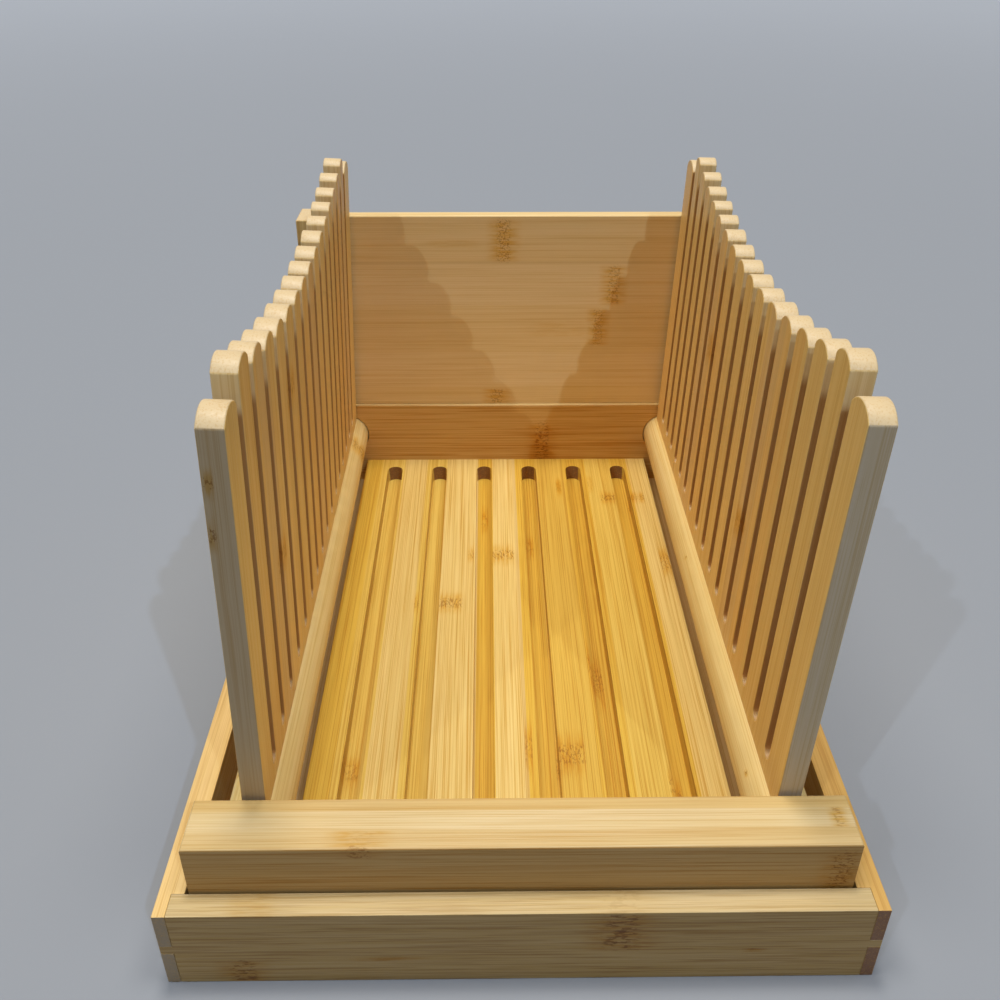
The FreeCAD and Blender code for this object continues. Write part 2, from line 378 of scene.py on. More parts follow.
@dataclass(frozen=True)
class BambooFinish:
    """Glued bamboo strips with fibres, knuckles, seams and end grain.

    The grain runs along one axis and the strips lie side by side along another.
    Faces that look along the second axis may have a tone of their own, which on
    the bars and the combs is darker as painted shade, lines of another strength, a
    painted-shade tone beyond a distance, and a painted-light tone above a height that
    rises with the square of the distance from the middle. End grain may have a
    painted-shade tone below a height. A leaning part gives its lean in degrees, about
    an axis along Y.
    """

    name: str
    grain: Axis
    laid: Axis
    strips: tuple[Strip, ...]
    knuckles: tuple[Knuckle, ...] = ()
    side_tone: Tone | None = None
    side_lines: float = 1.0
    painted_shade_ends: tuple[float, Tone] | None = None
    painted_light_crown: tuple[float, float, Tone] | None = None
    painted_light_fade: float = 5.0
    end_tone: Tone = Tone.END_GRAIN
    end_from: Pair = ROUNDED
    painted_shade_low_end: tuple[float, Tone] | None = None
    lines: Pattern = LINES
    mottle: Pattern = MOTTLE
    line_tint: Triple = (0.8, 0.64, 0.36)
    fibre_tint: Triple = (0.85, 0.78, 0.56)
    cloud_tint: Triple = (0.91, 0.85, 0.64)
    stain_tint: Triple = (0.88, 0.7, 0.32)
    dot_tint: Triple = (0.58, 0.45, 0.26)
    fibre_level: float = 0.45
    line_level: float = 0.75
    cloud_level: float = 0.3
    seam_level: float = 0.35
    pore_level: float = 0.35
    roughness: Pair = (0.4, 0.56)
    specular: float = 0.4
    rough_at: float = 1.4
    relief: Relief = Relief()
    seam_width: float = 0.22
    sway: float = 1.4
    sway_detail: float = 1.0
    depth_rate: float = 0.8
    bare_lines: float = 0.5
    bare_stain: float = 0.35
    strip_shift: float = 90.0
    lean: float = 0.0
    pivot: Triple = (0.0, 0.0, 0.0)
    seed: float = 0.0
    span: float = 400.0

    def direction(self, axis: Axis) -> Vector:
        """Gives an axis's direction, leaning as the part does.

        Args:
            axis: The axis, in the part's own frame.

        Returns:
            The direction, one unit long.
        """
        direction = Vector((0.0, 0.0, 0.0))
        direction[axis.value] = 1.0
        return Matrix.Rotation(math.radians(self.lean), 3, "Y") @ direction

    def place(self, graph: ShaderGraph, coordinates: bpy.types.Node) -> Places:
        """Measures a point of the part in its own strips, in mm.

        Args:
            graph: The material's graph.
            coordinates: The texture coordinate node.

        Returns:
            The distances along the grain, across the strips and through them.
        """
        mapping = graph.add("ShaderNodeMapping", vector_type="TEXTURE")
        graph.feed(mapping.inputs["Vector"], coordinates.outputs["Object"])
        mapping.inputs["Location"].default_value = [value * MM for value in self.pivot]
        mapping.inputs["Rotation"].default_value = (0.0, math.radians(self.lean), 0.0)
        mapping.inputs["Scale"].default_value = (MM, MM, MM)
        split = graph.add("ShaderNodeSeparateXYZ")
        graph.feed(split.inputs[0], mapping.outputs[0])
        third = 3 - self.grain.value - self.laid.value
        return tuple(split.outputs[index] for index in (self.grain.value, self.laid.value, third))

    def facing(
        self, graph: ShaderGraph, coordinates: bpy.types.Node, axis: Axis, turn: Pair
    ) -> Socket:
        """Finds how squarely the surface faces along an axis, either way.

        Args:
            graph: The material's graph.
            coordinates: The texture coordinate node.
            axis: The axis, in the part's own frame.
            turn: The cosines at which a face starts to count, and counts in full.

        Returns:
            The level, from 0 to 1.
        """
        dot = graph.add("ShaderNodeVectorMath", operation="DOT_PRODUCT")
        graph.feed(dot.inputs[0], coordinates.outputs["Normal"])
        dot.inputs[1].default_value = self.direction(axis)
        return graph.smooth(graph.math("ABSOLUTE", dot.outputs["Value"]), *turn)

    def band(
        self, graph: ShaderGraph, value: Socket, centre: float, half: float, fade: Pair
    ) -> Socket:
        """Makes a soft-edged band about a centre, which fades at two shares of its half width."""
        gap = graph.math("ABSOLUTE", graph.math("SUBTRACT", value, centre))
        return graph.smooth(gap, half * fade[0], half * fade[1], 1.0, 0.0)

    def knuckle_masks(self, graph: ShaderGraph, places: Places) -> tuple[object, object]:
        """Adds up the knuckles as soft-edged patches, and the stains that run out of them.

        Args:
            graph: The material's graph.
            places: The distances along the grain, across the strips and through them.

        Returns:
            The patches' mask and the stains' mask, 0 away from every knuckle.
        """
        patches: object = 0.0
        stains: object = 0.0
        along, across, through = places
        for mark in self.knuckles:
            half = mark.length / 2
            held = self.band(graph, across, mark.across, mark.width / 2, WIDTH_FADE)
            if mark.reach:
                depth = self.band(graph, through, mark.through, mark.reach, REACH_FADE)
                held = graph.times(held, depth)
            patch = self.band(graph, along, mark.along, half, PATCH_FADE)
            stain = self.band(graph, along, mark.along, half, STAIN_FADE)
            patch = graph.times(patch, graph.times(held, mark.strength))
            stain = graph.times(stain, graph.times(held, mark.stain))
            patches = graph.math("MAXIMUM", patches, patch)
            stains = graph.math("MAXIMUM", stains, stain)
        return patches, stains

    def strip_stops(self) -> Stops:
        """Gives where each strip starts, from 0 to 1, and its colour."""
        return [(strip.start / self.span + 0.5, strip.tone.linear()) for strip in self.strips]

    def shuffle_stops(self) -> Stops:
        """Gives each strip a grey of its own, spread by the golden ratio.

        Returns:
            Where each strip starts, from 0 to 1, and its grey.
        """
        return [
            (place, ((index * GOLDEN_RATIO + self.seed) % 1.0,) * 3 + (1.0,))
            for index, (place, _) in enumerate(self.strip_stops())
        ]

    def seam_stops(self) -> Stops:
        """Marks the seams between the strips.

        Returns:
            Where each seam starts and ends, from 0 to 1, in white on black.
        """
        half = self.seam_width / 2 / self.span
        stops = [(0.0, (0.0, 0.0, 0.0, 1.0))]
        for place, _ in self.strip_stops()[1:]:
            stops.append((place - half, (1.0, 1.0, 1.0, 1.0)))
            stops.append((place + half, (0.0, 0.0, 0.0, 1.0)))
        return stops

    def end_colour(self, graph: ShaderGraph, places: Places) -> Socket:
        """Colours the end grain, with its pores, and a darker tone low down as painted shade.

        Args:
            graph: The material's graph.
            places: The distances along the grain, across the strips and through them.

        Returns:
            The end grain's colour.
        """
        along, across, through = places
        end: object = self.end_tone.linear()
        # Painted shade: the end grain below a height takes a darker tone.
        if self.painted_shade_low_end:
            below, tone = self.painted_shade_low_end
            end = graph.mix(graph.math("LESS_THAN", along, below), end, tone.linear())
        pores = graph.pattern((across, through, along), PORES)
        return graph.mix(graph.times(pores, self.pore_level), end, Tone.PORE.linear())

    def side_colour(self, graph: ShaderGraph, along: Socket, across: Socket) -> object:
        """Colours the faces that look along the strips' own axis, with a paler tone high up as
        painted light and another tone at the far ends as painted shade.

        Args:
            graph: The material's graph.
            along: The distance along the grain.
            across: The distance across the strips.

        Returns:
            Their colour.
        """
        colour: object = self.side_tone.linear()
        # Painted light: a paler tone above a height that rises towards the ends.
        if self.painted_light_crown:
            start, rise, tone = self.painted_light_crown
            level = graph.math("MULTIPLY_ADD", graph.times(across, across), -rise, along)
            pale = graph.smooth(level, start, start + self.painted_light_fade)
            colour = graph.mix(pale, colour, tone.linear())
        # Painted shade: another tone on the far ends of these faces.
        if self.painted_shade_ends:
            edge, tone = self.painted_shade_ends
            beyond = graph.math("GREATER_THAN", graph.math("ABSOLUTE", across), edge)
            colour = graph.mix(beyond, colour, tone.linear())
        return colour

    def material(self) -> bpy.types.Material:
        """Builds the finish's material.

        Returns:
            The new material.
        """
        material = bpy.data.materials.new(self.name)
        graph = ShaderGraph(material)
        coordinates = graph.add("ShaderNodeTexCoord")
        places = self.place(graph, coordinates)
        along, across, through = places
        where = graph.math("MULTIPLY_ADD", across, 1 / self.span, 0.5)

        colour = graph.steps(where, self.strip_stops())
        side = self.facing(graph, coordinates, self.laid, SIDEWAYS)
        if self.side_tone:
            colour = graph.mix(side, colour, self.side_colour(graph, along, across))

        offset = graph.times(graph.steps(where, self.shuffle_stops()), self.strip_shift)
        wander = [graph.times(place, rate) for place, rate in zip((along, across), WANDER)]
        drift_at = graph.vector(*wander, offset)
        drift = graph.noise(drift_at, self.sway_detail)
        wavy = graph.math("MULTIPLY_ADD", drift, self.sway, across)
        deep = graph.math("MULTIPLY_ADD", through, self.depth_rate, offset)
        fibre = graph.pattern((along, wavy, deep), FIBRES)
        lines = graph.pattern((along, wavy, deep), self.lines)
        shown = graph.math("MULTIPLY_ADD", fibre, 1.0 - self.bare_lines, self.bare_lines)
        lines = graph.times(lines, shown)
        lines = graph.times(lines, graph.math("MULTIPLY_ADD", side, self.side_lines - 1.0, 1.0))
        clouds = graph.pattern((along, across, offset), CLOUDS)
        colour = graph.tinted(colour, graph.times(fibre, self.fibre_level), self.fibre_tint)
        colour = graph.tinted(colour, graph.times(clouds, self.cloud_level), self.cloud_tint)
        colour = graph.tinted(colour, graph.times(lines, self.line_level), self.line_tint)

        if len(self.strips) > 1:
            seam = graph.times(graph.steps(where, self.seam_stops()), self.seam_level)
            colour = graph.mix(seam, colour, Tone.SEAM.linear())

        dots: object = 0.0
        if self.knuckles:
            patch, stain = self.knuckle_masks(graph, places)
            flames = graph.pattern((along, across, deep), FLAMES)
            shown = graph.math("MULTIPLY_ADD", flames, 1.0 - self.bare_stain, self.bare_stain)
            stain = graph.times(stain, shown)
            colour = graph.tinted(colour, stain, self.stain_tint)
            dots = graph.times(patch, graph.pattern((along, across, deep), self.mottle))
            colour = graph.tinted(colour, dots, self.dot_tint)

        cut = self.facing(graph, coordinates, self.grain, self.end_from)
        colour = graph.mix(cut, colour, self.end_colour(graph, places))
        self.surface(graph, colour, fibre, lines, dots)
        return material

    def surface(
        self, graph: ShaderGraph, colour: Socket, fibre: Socket, lines: Socket, dots: object
    ) -> None:
        """Adds the shader, with the relief of the fibres and the knuckles.

        Args:
            graph: The material's graph.
            colour: The wood's colour.
            fibre: The broad fibres' level.
            lines: The fine lines' level.
            dots: The knuckles' dots, or 0.
        """
        shader = graph.add("ShaderNodeBsdfPrincipled")
        output = graph.add("ShaderNodeOutputMaterial")
        graph.feed(output.inputs["Surface"], shader.outputs[0])
        graph.feed(shader.inputs["Base Color"], colour)
        rough = graph.smooth(graph.math("ADD", fibre, dots), 0.0, self.rough_at, *self.roughness)
        graph.feed(shader.inputs["Roughness"], rough)
        shader.inputs["Specular IOR Level"].default_value = self.specular

        relief = self.relief
        sunk = graph.math("MULTIPLY_ADD", lines, relief.lines, graph.times(fibre, relief.fibres))
        height = graph.math("SUBTRACT", 1.0, sunk)
        height = graph.math("SUBTRACT", height, graph.times(dots, relief.dots))
        bump = graph.add("ShaderNodeBump")
        bump.inputs["Strength"].default_value = relief.strength
        bump.inputs["Distance"].default_value = relief.depth * MM
        graph.feed(bump.inputs["Height"], height)
        graph.feed(shader.inputs["Normal"], bump.outputs[0])


@dataclass(frozen=True)
class FloorFinish:
    """A matt, pale studio floor, paler further out, where less light falls on it."""

    name: str = "studio_floor"
    near: Triple = (0.31, 0.322, 0.342)
    far: Triple = (0.6, 0.615, 0.64)
    reach: Pair = (0.25, 3.2)
    cloud_rate: float = 2.5
    cloud_detail: float = 3.0
    cloud_range: Pair = (0.3, 0.7)
    cloud_shift: float = 0.1
    roughness: Pair = (0.7, 0.8)
    specular: float = 0.2

    def material(self) -> bpy.types.Material:
        """Builds the floor's material.

        Returns:
            The new material.
        """
        material = bpy.data.materials.new(self.name)
        graph = ShaderGraph(material)
        coordinates = graph.add("ShaderNodeTexCoord")
        scaled = graph.add("ShaderNodeVectorMath", operation="SCALE")
        graph.feed(scaled.inputs[0], coordinates.outputs["Object"])
        scaled.inputs["Scale"].default_value = self.cloud_rate
        cloud = graph.noise(scaled.outputs[0], self.cloud_detail)
        distance = graph.add("ShaderNodeVectorMath", operation="LENGTH")
        graph.feed(distance.inputs[0], coordinates.outputs["Object"])
        away = graph.math("MULTIPLY_ADD", cloud, self.cloud_shift, distance.outputs["Value"])
        colour = graph.mix(graph.smooth(away, *self.reach), (*self.near, 1.0), (*self.far, 1.0))
        shader = graph.add("ShaderNodeBsdfPrincipled")
        output = graph.add("ShaderNodeOutputMaterial")
        graph.feed(shader.inputs["Base Color"], colour)
        rough = graph.smooth(cloud, *self.cloud_range, *self.roughness)
        graph.feed(shader.inputs["Roughness"], rough)
        shader.inputs["Specular IOR Level"].default_value = self.specular
        graph.feed(output.inputs["Surface"], shader.outputs[0])
        return material


@dataclass(frozen=True)
class EasedEdge:
    """Sandpapered edges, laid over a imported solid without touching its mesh."""

    width: float = 0.35
    segments: int = 2
    sharp_from: float = 30.0
    weld: float = 0.004
    flat_within: float = 1.0

    def apply(self, node: bpy.types.Object) -> None:
        """Eases a node's sharp edges.

        Args:
            node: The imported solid's object.
        """
        weld = node.modifiers.new("join_corners", "WELD")
        weld.merge_threshold = self.weld * MM
        flat = node.modifiers.new("flat_faces", "DECIMATE")
        flat.decimate_type = "DISSOLVE"
        flat.angle_limit = math.radians(self.flat_within)
        ease = node.modifiers.new("eased_edge", "BEVEL")
        ease.width = self.width * MM
        ease.segments = self.segments
        ease.limit_method = "ANGLE"
        ease.angle_limit = math.radians(self.sharp_from)
        ease.harden_normals = True


def dress(names: tuple[str, ...], finish: BambooFinish, edge: EasedEdge | None) -> None:
    """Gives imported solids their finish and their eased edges.

    Args:
        names: The nodes to dress.
        finish: The finish that they share.
        edge: How their edges are eased, or None to leave them.
    """
    material = finish.material()
    for name in names:
        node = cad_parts[name]
        for slot in node.material_slots:
            slot.material = material
        if edge:
            edge.apply(node)
        log.info("%s: %s", name, finish.name)


# A place beyond every part, in mm, where a part's first strip starts.
FIRST = -200.0


@dataclass
class CrumbTray:
    """The open tray that stands round the cutting frame and catches the crumbs."""

    height: float = 33.0
    rim: float = 1.2
    floor_strip: float = 22.0
    floor_strips: int = 10
    edge: EasedEdge = EasedEdge(0.3)

    def end_wall_finish(self) -> BambooFinish:
        """Gives the front and rear walls' finish, with the face darker than the top as painted
        shade.

        Returns:
            The finish.
        """
        knuckles = (
            Knuckle(31, 23.5, 13, 19, 1.0),
            Knuckle(-89, 5.5, 9, 12, 1.0),
            Knuckle(-42, 11, 12, 2, 0.2),
            Knuckle(-84, self.height, 8, 2, 0.0, stain=0.5),
            Knuckle(74, 14, 4, 2, 0.3),
        )
        return BambooFinish(
            "tray_end_bamboo", Axis.X, Axis.Z,
            # The upright faces take ALMOND as painted shade; the rim and the top take LINEN.
            (Strip(FIRST, Tone.ALMOND), Strip(self.height - self.rim, Tone.LINEN)), knuckles,
            side_tone=Tone.LINEN, side_lines=0.7, end_tone=Tone.DRY_END, end_from=SQUARE,
            lines=LINES.paced(0.022, 1.3), mottle=MOTTLE.paced(0.3, 1.1),
            line_tint=(0.66, 0.54, 0.38), fibre_level=0.7, seam_level=0.0, seed=0.11,
        )

    def side_wall_finish(self, side: Side, tone: Tone, end_tone: Tone, seed: float) -> BambooFinish:
        """Gives the finish of the left or the right wall.

        Args:
            side: Which wall it is.
            tone: The tone of its top.
            end_tone: The tone of its end grain.
            seed: What makes its fibres differ from the other wall's.

        Returns:
            The finish.
        """
        return BambooFinish(
            f"tray_{side.value}_bamboo", Axis.Y, Axis.Z,
            # The upright faces take ALMOND as painted shade, darker than the top's tone.
            (Strip(FIRST, Tone.ALMOND), Strip(self.height - self.rim, tone)),
            (Knuckle(-62, 8, 8, 14, 0.8), Knuckle(104, 22, 8, 16, 0.8)),
            side_tone=tone, end_tone=end_tone, end_from=SQUARE, lines=LINES.paced(0.012, 2.4),
            line_tint=(0.74, 0.6, 0.42), line_level=0.5, seam_level=0.0, seed=seed,
        )

    def floor_finish(self) -> BambooFinish:
        """Gives the finish of the thin floor panel, in strips of three tones.

        Returns:
            The finish.
        """
        tones = (Tone.WHEAT, Tone.OAT, Tone.SAND)
        half = self.floor_strips // 2
        strips = tuple(
            Strip((step - half) * self.floor_strip if step else FIRST, tones[step % len(tones)])
            for step in range(self.floor_strips)
        )
        knuckles = (Knuckle(40, -33, 9, 20), Knuckle(-80, 55, 9, 20))
        return BambooFinish("tray_floor_bamboo_strips", Axis.Y, Axis.X, strips, knuckles, seed=0.53)

    def build(self) -> None:
        """Dresses the tray's walls and floor."""
        left = self.side_wall_finish(Side.LEFT, Tone.STRAW, Tone.DRY_END, 0.37)
        # The right wall's TOFFEE top and RUSSET_END end grain are painted shade, set against the
        # left wall's tones.
        right = self.side_wall_finish(Side.RIGHT, Tone.TOFFEE, Tone.RUSSET_END, 0.58)
        dress(("crumb_tray_front_wall", "crumb_tray_rear_wall"), self.end_wall_finish(), self.edge)
        dress(("crumb_tray_left_wall",), left, self.edge)
        dress(("crumb_tray_right_wall",), right, self.edge)
        dress(("crumb_tray_floor",), self.floor_finish(), self.edge)


@dataclass
class CuttingFrame:
    """The frame that lifts out of the tray: two bars, the grooved board and two posts."""

    bar_depth: float = 20.0
    bar_top: float = 52.0
    bar_front: float = -158.5
    bar_rear: float = 138.5
    edge: EasedEdge = EasedEdge(0.35)

    def bar_finish(
        self, end: End, start: float, knuckles: tuple[Knuckle, ...], tones: tuple[Tone, ...],
        face: Tone, seed: float,
    ) -> BambooFinish:
        """Gives a bar's finish, in three layers from front to rear.

        Args:
            end: Which bar it is.
            start: Where the bar's front face is, in mm.
            knuckles: Its knuckles.
            tones: The tones of its three layers.
            face: The tone of its front and rear faces, darker than its top layers as painted shade.
            seed: What makes its fibres differ from the other bar's.

        Returns:
            The finish.
        """
        layer = self.bar_depth / len(tones)
        strips = tuple(
            Strip(start + step * layer if step else FIRST, tone) for step, tone in enumerate(tones)
        )
        return BambooFinish(
            f"{end.value}_bar_bamboo", Axis.X, Axis.Y, strips, knuckles, side_tone=face,
            side_lines=1.6, end_tone=Tone.DRY_END, end_from=SQUARE, lines=LINES.paced(0.01, 2.4),
            line_level=0.6, seam_level=0.08, seed=seed,
        )

    def front_bar_finish(self) -> BambooFinish:
        """Gives the front bar's finish, with knuckles over its front edge and at its right end.

        Returns:
            The finish.
        """
        knuckles = (
            Knuckle(-50, -154.6, 10, 6.4, 0.15, self.bar_top, 3, 0.9),
            Knuckle(-50, self.bar_front, 8, 3, 0.8, 50.4, 2.4, 0.5),
            Knuckle(99.6, self.bar_front, 8, 3, 1.0, 40, 10),
            Knuckle(99.6, -147.5, 3, 8, 0.6, self.bar_top, 3),
        )
        tones = (Tone.OAT, Tone.IVORY, Tone.WHEAT)
        # HAZEL on the front and rear faces is painted shade.
        return self.bar_finish(End.FRONT, self.bar_front, knuckles, tones, Tone.HAZEL, 0.05)

    def rear_bar_finish(self) -> BambooFinish:
        """Gives the rear bar's finish, with one knuckle on its front face.

        Returns:
            The finish.
        """
        knuckles = (Knuckle(20, self.bar_rear, 9, 3, 1.0, 30, 12),)
        tones = (Tone.WHEAT, Tone.WHEAT, Tone.OAT)
        # BISCUIT on the front and rear faces is painted shade.
        return self.bar_finish(End.REAR, self.bar_rear, knuckles, tones, Tone.BISCUIT, 0.47)

    def board_finish(self) -> BambooFinish:
        """Gives the grooved cutting board's finish.

        Returns:
            The finish.
        """
        strips = (
            Strip(FIRST, Tone.AMBER), Strip(-70, Tone.HONEY), Strip(-57, Tone.CREAM),
            Strip(-44.5, Tone.HONEY), Strip(-33, Tone.CREAM), Strip(-17, Tone.AMBER),
            Strip(-9, Tone.CREAM), Strip(3.2, Tone.AMBER), Strip(15, Tone.GOLDEN),
            Strip(30.5, Tone.AMBER), Strip(42.5, Tone.HONEY), Strip(57, Tone.AMBER),
            # The last strip's pale CREAM is partly painted light, lifting the right comb's shadow
            # off its golden tone.
            Strip(66, Tone.CREAM),
        )
        knuckles = (
            Knuckle(7, -28, 8, 12, 0.85), Knuckle(45, -3, 9, 11, 0.9),
            Knuckle(45, -18.6, 7, 3, 0.6), Knuckle(7, -43, 8, 2.4, 0.5),
            Knuckle(88, -12, 13, 4, 0.5), Knuckle(-38, 35, 18, 7, 0.6),
            Knuckle(-87, 21, 12, 11, 0.85), Knuckle(-84, 5, 15, 3, 0.6),
            Knuckle(97, 54, 7, 10, 0.8), Knuckle(97, 69, 6, 8, 0.6),
            Knuckle(38, 75.5, 14, 5, 0.7), Knuckle(-102, 59, 10, 6, 0.7),
            Knuckle(-88, -63, 9, 6, 0.5), Knuckle(108, 28, 10, 3, 0.4),
            Knuckle(110, 45, 9, 3, 0.3), Knuckle(63, 11, 11, 4, 0.35),
        )
        return BambooFinish(
            "board_bamboo_strips", Axis.Y, Axis.X, strips, knuckles, end_tone=Tone.BURNT_END,
            fibre_level=0.6, line_level=1.0, seam_level=0.25, seed=0.21,
        )

    def post_finish(self) -> BambooFinish:
        """Gives the two posts' finish.

        Returns:
            The finish.
        """
        strips = (Strip(FIRST, Tone.WHEAT), Strip(self.bar_rear + self.bar_depth / 2, Tone.OAT))
        return BambooFinish(
            "post_bamboo_strips", Axis.Z, Axis.Y, strips, (Knuckle(118, 146, 9, 11, 0.6),),
            end_from=SQUARE, seed=0.71,
        )

    def dowel_finish(self, name: str, grain: Axis, seed: float) -> BambooFinish:
        """Gives the plain finish of the pegs that lie along an axis."""
        return BambooFinish(name, grain, Axis.X, (Strip(FIRST, Tone.PALE),), seed=seed)

    def build(self) -> None:
        """Dresses the bars, the board, the posts and the dowels."""
        dress(("front_bar",), self.front_bar_finish(), self.edge)
        dress(("rear_bar",), self.rear_bar_finish(), self.edge)
        dress(("cutting_board",), self.board_finish(), self.edge)
        dress(("left_post", "right_post"), self.post_finish(), self.edge)
        places = ("left", "middle", "right")
        board_dowels = tuple(
            f"{end.value}_board_dowel_{place}" for end in End for place in places
        )
        dress(board_dowels, self.dowel_finish("dowel_wood_lengthwise", Axis.Y, 0.8), None)
        post_dowels = tuple(f"{side.value}_post_dowel" for side in Side)
        dress(post_dowels, self.dowel_finish("dowel_wood_upright", Axis.Z, 0.9), None)


@dataclass
class BackPanel:
    """The thin panel that slides down between the posts and holds the loaf's end."""

    height: float = 103.8
    bottom: float = 52.4
    # How far down the painted highlight on the top edge reaches, in mm.
    crest: float = 0.9
    edge: EasedEdge = EasedEdge(0.3)

    def finish(self) -> BambooFinish:
        """Gives the finish of the five horizontal strips, with a near-white top edge as a painted
        highlight.

        Returns:
            The finish.
        """
        top = self.bottom + self.height
        strips = (
            Strip(FIRST, Tone.SAND), Strip(top - 95, Tone.BUFF), Strip(top - 74, Tone.SAND),
            Strip(top - 48, Tone.BUFF), Strip(top - 25, Tone.SAND),
            # The top edge's near-white strip is a painted highlight.
            Strip(top - self.crest, Tone.CREST),
        )
        knuckles = (
            Knuckle(-1.7, 143.5, 8, 23, 0.8), Knuckle(55, 120, 7, 22, 0.7),
            Knuckle(48, 97, 6, 21, 0.6), Knuckle(-5, 57, 8, 9, 0.7),
            Knuckle(28, 96, 18, 9, 0.0, stain=0.35), Knuckle(-28, 142, 14, 4, 0.0, stain=0.35),
        )
        return BambooFinish(
            "panel_bamboo_strips", Axis.X, Axis.Z, strips, knuckles, end_from=SQUARE,
            mottle=MOTTLE.paced(1.0, 1.3), line_level=0.45, fibre_level=0.25, cloud_level=0.15,
            seam_level=0.15, roughness=(0.32, 0.46), seed=0.33,
        )

    def build(self) -> None:
        """Dresses the panel."""
        dress(("back_panel",), self.finish(), self.edge)


@dataclass
class SlottedComb:
    """One hinged, slotted side that guides the knife, with the rail that it turns on."""

    side: Side
    lean: float
    axis_x: float
    # The tone of the comb's two end faces: painted shade, greyer and darker than the tines.
    front: Tone
    first_tone: int
    knuckles: tuple[Knuckle, ...]
    seed: float
    rail_seed: float
    axis_z: float = 34.6
    half_length: float = 137.5
    end_face: float = 1.0
    strip_width: float = 19.6
    strips: int = 14
    tones: tuple[Tone, ...] = (Tone.MAIZE, Tone.CORN, Tone.CORN, Tone.APRICOT, Tone.STRAW)
    slot_floor: float = 60.0
    # Where the painted light on the slot walls starts, in mm up the tines, and how fast it rises
    # towards the ends.
    painted_light_start: float = 127.0
    painted_light_rise: float = 0.0012
    comb_edge: EasedEdge = EasedEdge(0.5, segments=3)
    rail_edge: EasedEdge = EasedEdge(0.3, sharp_from=40.0)

    def comb_finish(self) -> BambooFinish:
        """Gives the comb's finish, with the grain up its tines.

        Returns:
            The finish.
        """
        strips = tuple(
            Strip(
                step * self.strip_width - self.half_length if step else FIRST,
                self.tones[(step + self.first_tone) % len(self.tones)],
            )
            for step in range(self.strips)
        )
        return BambooFinish(
            f"{self.side.value}_comb_bamboo", Axis.Z, Axis.Y, strips, self.knuckles,
            # The slot walls take COCOA as painted shade.
            side_tone=Tone.COCOA, painted_shade_ends=(self.half_length - self.end_face, self.front),
            # Painted light: the upper slot walls turn paler, where light falls in between the
            # tines.
            painted_light_crown=(self.painted_light_start, self.painted_light_rise, Tone.BUFF),
            # The end grain below the slot floor takes a darker tone as painted shade.
            painted_shade_low_end=(self.slot_floor, Tone.SLOT_FOOT_SHADE), fibre_level=0.3, cloud_level=0.15,
            line_level=0.5, lean=self.lean, pivot=(self.axis_x, 0.0, self.axis_z), seed=self.seed,
        )

    def rail_finish(self) -> BambooFinish:
        """Gives the rail's finish, pale, with one knuckle and two specks.

        Returns:
            The finish.
        """
        speck_x = self.axis_x - 9
        knuckles = (
            Knuckle(112, self.axis_x + 8, 9, 7, 0.7), Knuckle(-118, speck_x, 1.6, 1.2, 1.0),
            Knuckle(10, speck_x, 1.2, 1, 0.9),
        )
        return BambooFinish(
            f"{self.side.value}_rail_bamboo", Axis.Y, Axis.X, (Strip(FIRST, Tone.LEMON),), knuckles,
            line_level=0.5, seed=self.rail_seed,
        )

    def build(self) -> None:
        """Dresses the comb and its rail."""
        dress((f"{self.side.value}_comb",), self.comb_finish(), self.comb_edge)
        dress((f"{self.side.value}_rail",), self.rail_finish(), self.rail_edge)


@dataclass(frozen=True)
class DistantLamp:
    """A lamp far off, in the direction given, with its strength and its spread in degrees."""

    name: str
    towards: Triple
    strength: float
    spread: float
    colour: Triple


WARM_WHITE = (1.0, 0.975, 0.93)


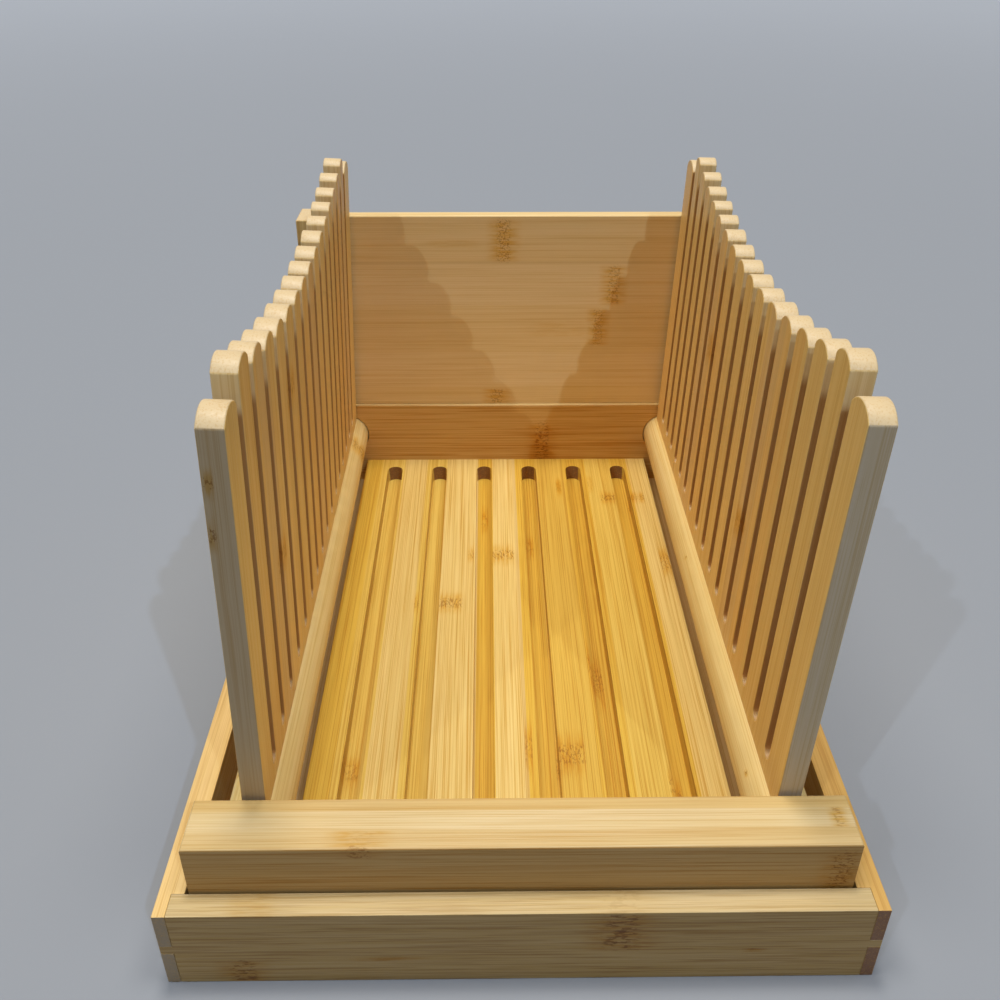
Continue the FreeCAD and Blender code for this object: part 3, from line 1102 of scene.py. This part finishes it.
@dataclass
class Studio:
    """The floor, the lamps and the camera."""

    floor_half: float = 6.0
    floor_steps: int = 24
    lamp_distance: float = 2.0
    camera_at: Triple = (-9.86, -368.8, 309.6)
    pitch: float = 32.13
    yaw: float = 0.74
    roll: float = 0.11
    lens: float = 37.25
    sensor_width: float = 36.0
    clip: Pair = (0.01, 50.0)
    distant_lamps: tuple[DistantLamp, ...] = (
        DistantLamp("left_side_softbox", (-0.34, 0.0, 1.0), 0.84, 18.0, WARM_WHITE),
        DistantLamp("right_side_softbox", (0.34, 0.0, 1.0), 0.76, 18.0, WARM_WHITE),
        DistantLamp("left_front_lamp", (-0.8, -1.0, 1.2), 0.44, 0.8, (0.8, 0.92, 1.1)),
        DistantLamp("right_front_lamp", (0.55, -1.0, 1.15), 0.56, 0.8, (0.7, 0.94, 1.32)),
    )
    overhead_at: Triple = (-0.05, 0.13, 1.75)
    overhead_size: float = 0.34
    overhead_power: float = 13.8
    fill: Triple = (0.03, 0.031, 0.033)
    backdrop: Triple = (0.4, 0.42, 0.45)

    def build_floor(self) -> None:
        """Lays the flat floor, in a grid of squares."""
        steps = self.floor_steps
        row_length = steps + 1
        stretch = [self.floor_half * (2 * step / steps - 1) for step in range(row_length)]
        points = [(x, y, 0.0) for y in stretch for x in stretch]
        corners = [row * row_length + column for row in range(steps) for column in range(steps)]
        faces = [(at, at + 1, at + 1 + row_length, at + row_length) for at in corners]
        mesh = bpy.data.meshes.new("studio_floor")
        mesh.from_pydata(points, [], faces)
        floor = bpy.data.objects.new("studio_floor", mesh)
        bpy.context.scene.collection.objects.link(floor)
        mesh.materials.append(FloorFinish().material())

    def build_lamps(self) -> None:
        """Hangs the lamps and sets the even fill."""
        for kind in self.distant_lamps:
            lamp = bpy.data.lights.new(kind.name, "SUN")
            lamp.energy = kind.strength
            lamp.angle = math.radians(kind.spread)
            lamp.color = kind.colour
            towards = Vector(kind.towards)
            self.hang(lamp, towards.normalized() * self.lamp_distance, towards)
        overhead = bpy.data.lights.new("overhead_softbox", "AREA")
        overhead.shape = "DISK"
        overhead.size = self.overhead_size
        overhead.energy = self.overhead_power
        overhead.color = WARM_WHITE
        self.hang(overhead, Vector(self.overhead_at), Vector((0.0, 0.0, 1.0)))
        bpy.context.scene.world = self.surround()

    def surround(self) -> bpy.types.World:
        """Makes the even fill, with a pale backdrop where it is seen or mirrored.

        Returns:
            The new world.
        """
        world = bpy.data.worlds.new("studio_fill")
        graph = ShaderGraph(world)
        rays = graph.add("ShaderNodeLightPath").outputs
        seen = graph.math("MAXIMUM", rays["Is Glossy Ray"], rays["Is Transmission Ray"])
        seen = graph.math("MAXIMUM", rays["Is Camera Ray"], seen)
        background = graph.add("ShaderNodeBackground")
        colour = graph.mix(seen, (*self.fill, 1.0), (*self.backdrop, 1.0))
        graph.feed(background.inputs["Color"], colour)
        output = graph.add("ShaderNodeOutputWorld")
        graph.feed(output.inputs["Surface"], background.outputs[0])
        return world

    def hang(self, lamp: bpy.types.Light, place: Vector, back: Vector) -> None:
        """Hangs a lamp.

        Args:
            lamp: The lamp.
            place: Where it hangs, in metres.
            back: The direction behind it.
        """
        holder = bpy.data.objects.new(lamp.name, lamp)
        holder.rotation_mode = "QUATERNION"
        holder.rotation_quaternion = back.to_track_quat("Z", "Y")
        holder.location = place
        bpy.context.scene.collection.objects.link(holder)

    def build_camera(self) -> None:
        """Sets the camera up in front of the guide, looking down into it."""
        pitch, yaw, roll = (math.radians(value) for value in (self.pitch, self.yaw, self.roll))
        forward = Vector(
            (math.sin(yaw) * math.cos(pitch), math.cos(yaw) * math.cos(pitch), -math.sin(pitch))
        )
        level = Vector((math.cos(yaw), -math.sin(yaw), 0.0))
        above = level.cross(forward)
        right = math.cos(roll) * level + math.sin(roll) * above
        up = -math.sin(roll) * level + math.cos(roll) * above
        turn = Matrix((right, up, -forward)).transposed().to_4x4()
        camera = bpy.data.cameras.new("studio_camera")
        camera.lens = self.lens
        camera.sensor_width = self.sensor_width
        camera.clip_start, camera.clip_end = self.clip
        holder = bpy.data.objects.new("studio_camera", camera)
        holder.matrix_world = Matrix.Translation(Vector(self.camera_at) * MM) @ turn
        bpy.context.scene.collection.objects.link(holder)
        bpy.context.scene.camera = holder

    def build(self) -> None:
        """Sets up the whole studio."""
        self.build_floor()
        self.build_lamps()
        self.build_camera()
        bpy.context.scene.view_settings.view_transform = "Standard"


def combs() -> tuple[SlottedComb, SlottedComb]:
    """Gives the two combs, which lean a little differently and have their own knuckles.

    Returns:
        The left comb and the right comb.
    """
    left_knuckles = (
        Knuckle(135, -137.5, 5, 4, 1.0, -2, 2.4), Knuckle(119, -137.5, 6, 4, 1.0, -2.4, 2),
        Knuckle(118, -46, 8, 16, 0.5), Knuckle(72, -82, 8, 16, 0.5),
    )
    right_knuckles = (Knuckle(95, 38, 8, 14, 0.5), Knuckle(60, -46, 8, 14, 0.4))
    return (
        SlottedComb(
            Side.LEFT, lean=2.4, axis_x=-87.4, front=Tone.ASH, first_tone=2,
            knuckles=left_knuckles, seed=0.15, rail_seed=0.27,
        ),
        SlottedComb(
            Side.RIGHT, lean=1.5, axis_x=87.4, front=Tone.STONE, first_tone=0,
            knuckles=right_knuckles, seed=0.62, rail_seed=0.44,
        ),
    )


def main() -> None:
    """Builds the guide's sub-assemblies in order, then the studio round them."""
    logging.basicConfig(level=logging.INFO, format="%(message)s")
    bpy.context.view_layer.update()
    for part in (CrumbTray(), CuttingFrame(), *combs(), BackPanel(), Studio()):
        part.build()
        log.info("%s is ready", type(part).__name__)


if __name__ == "__main__":
    main()
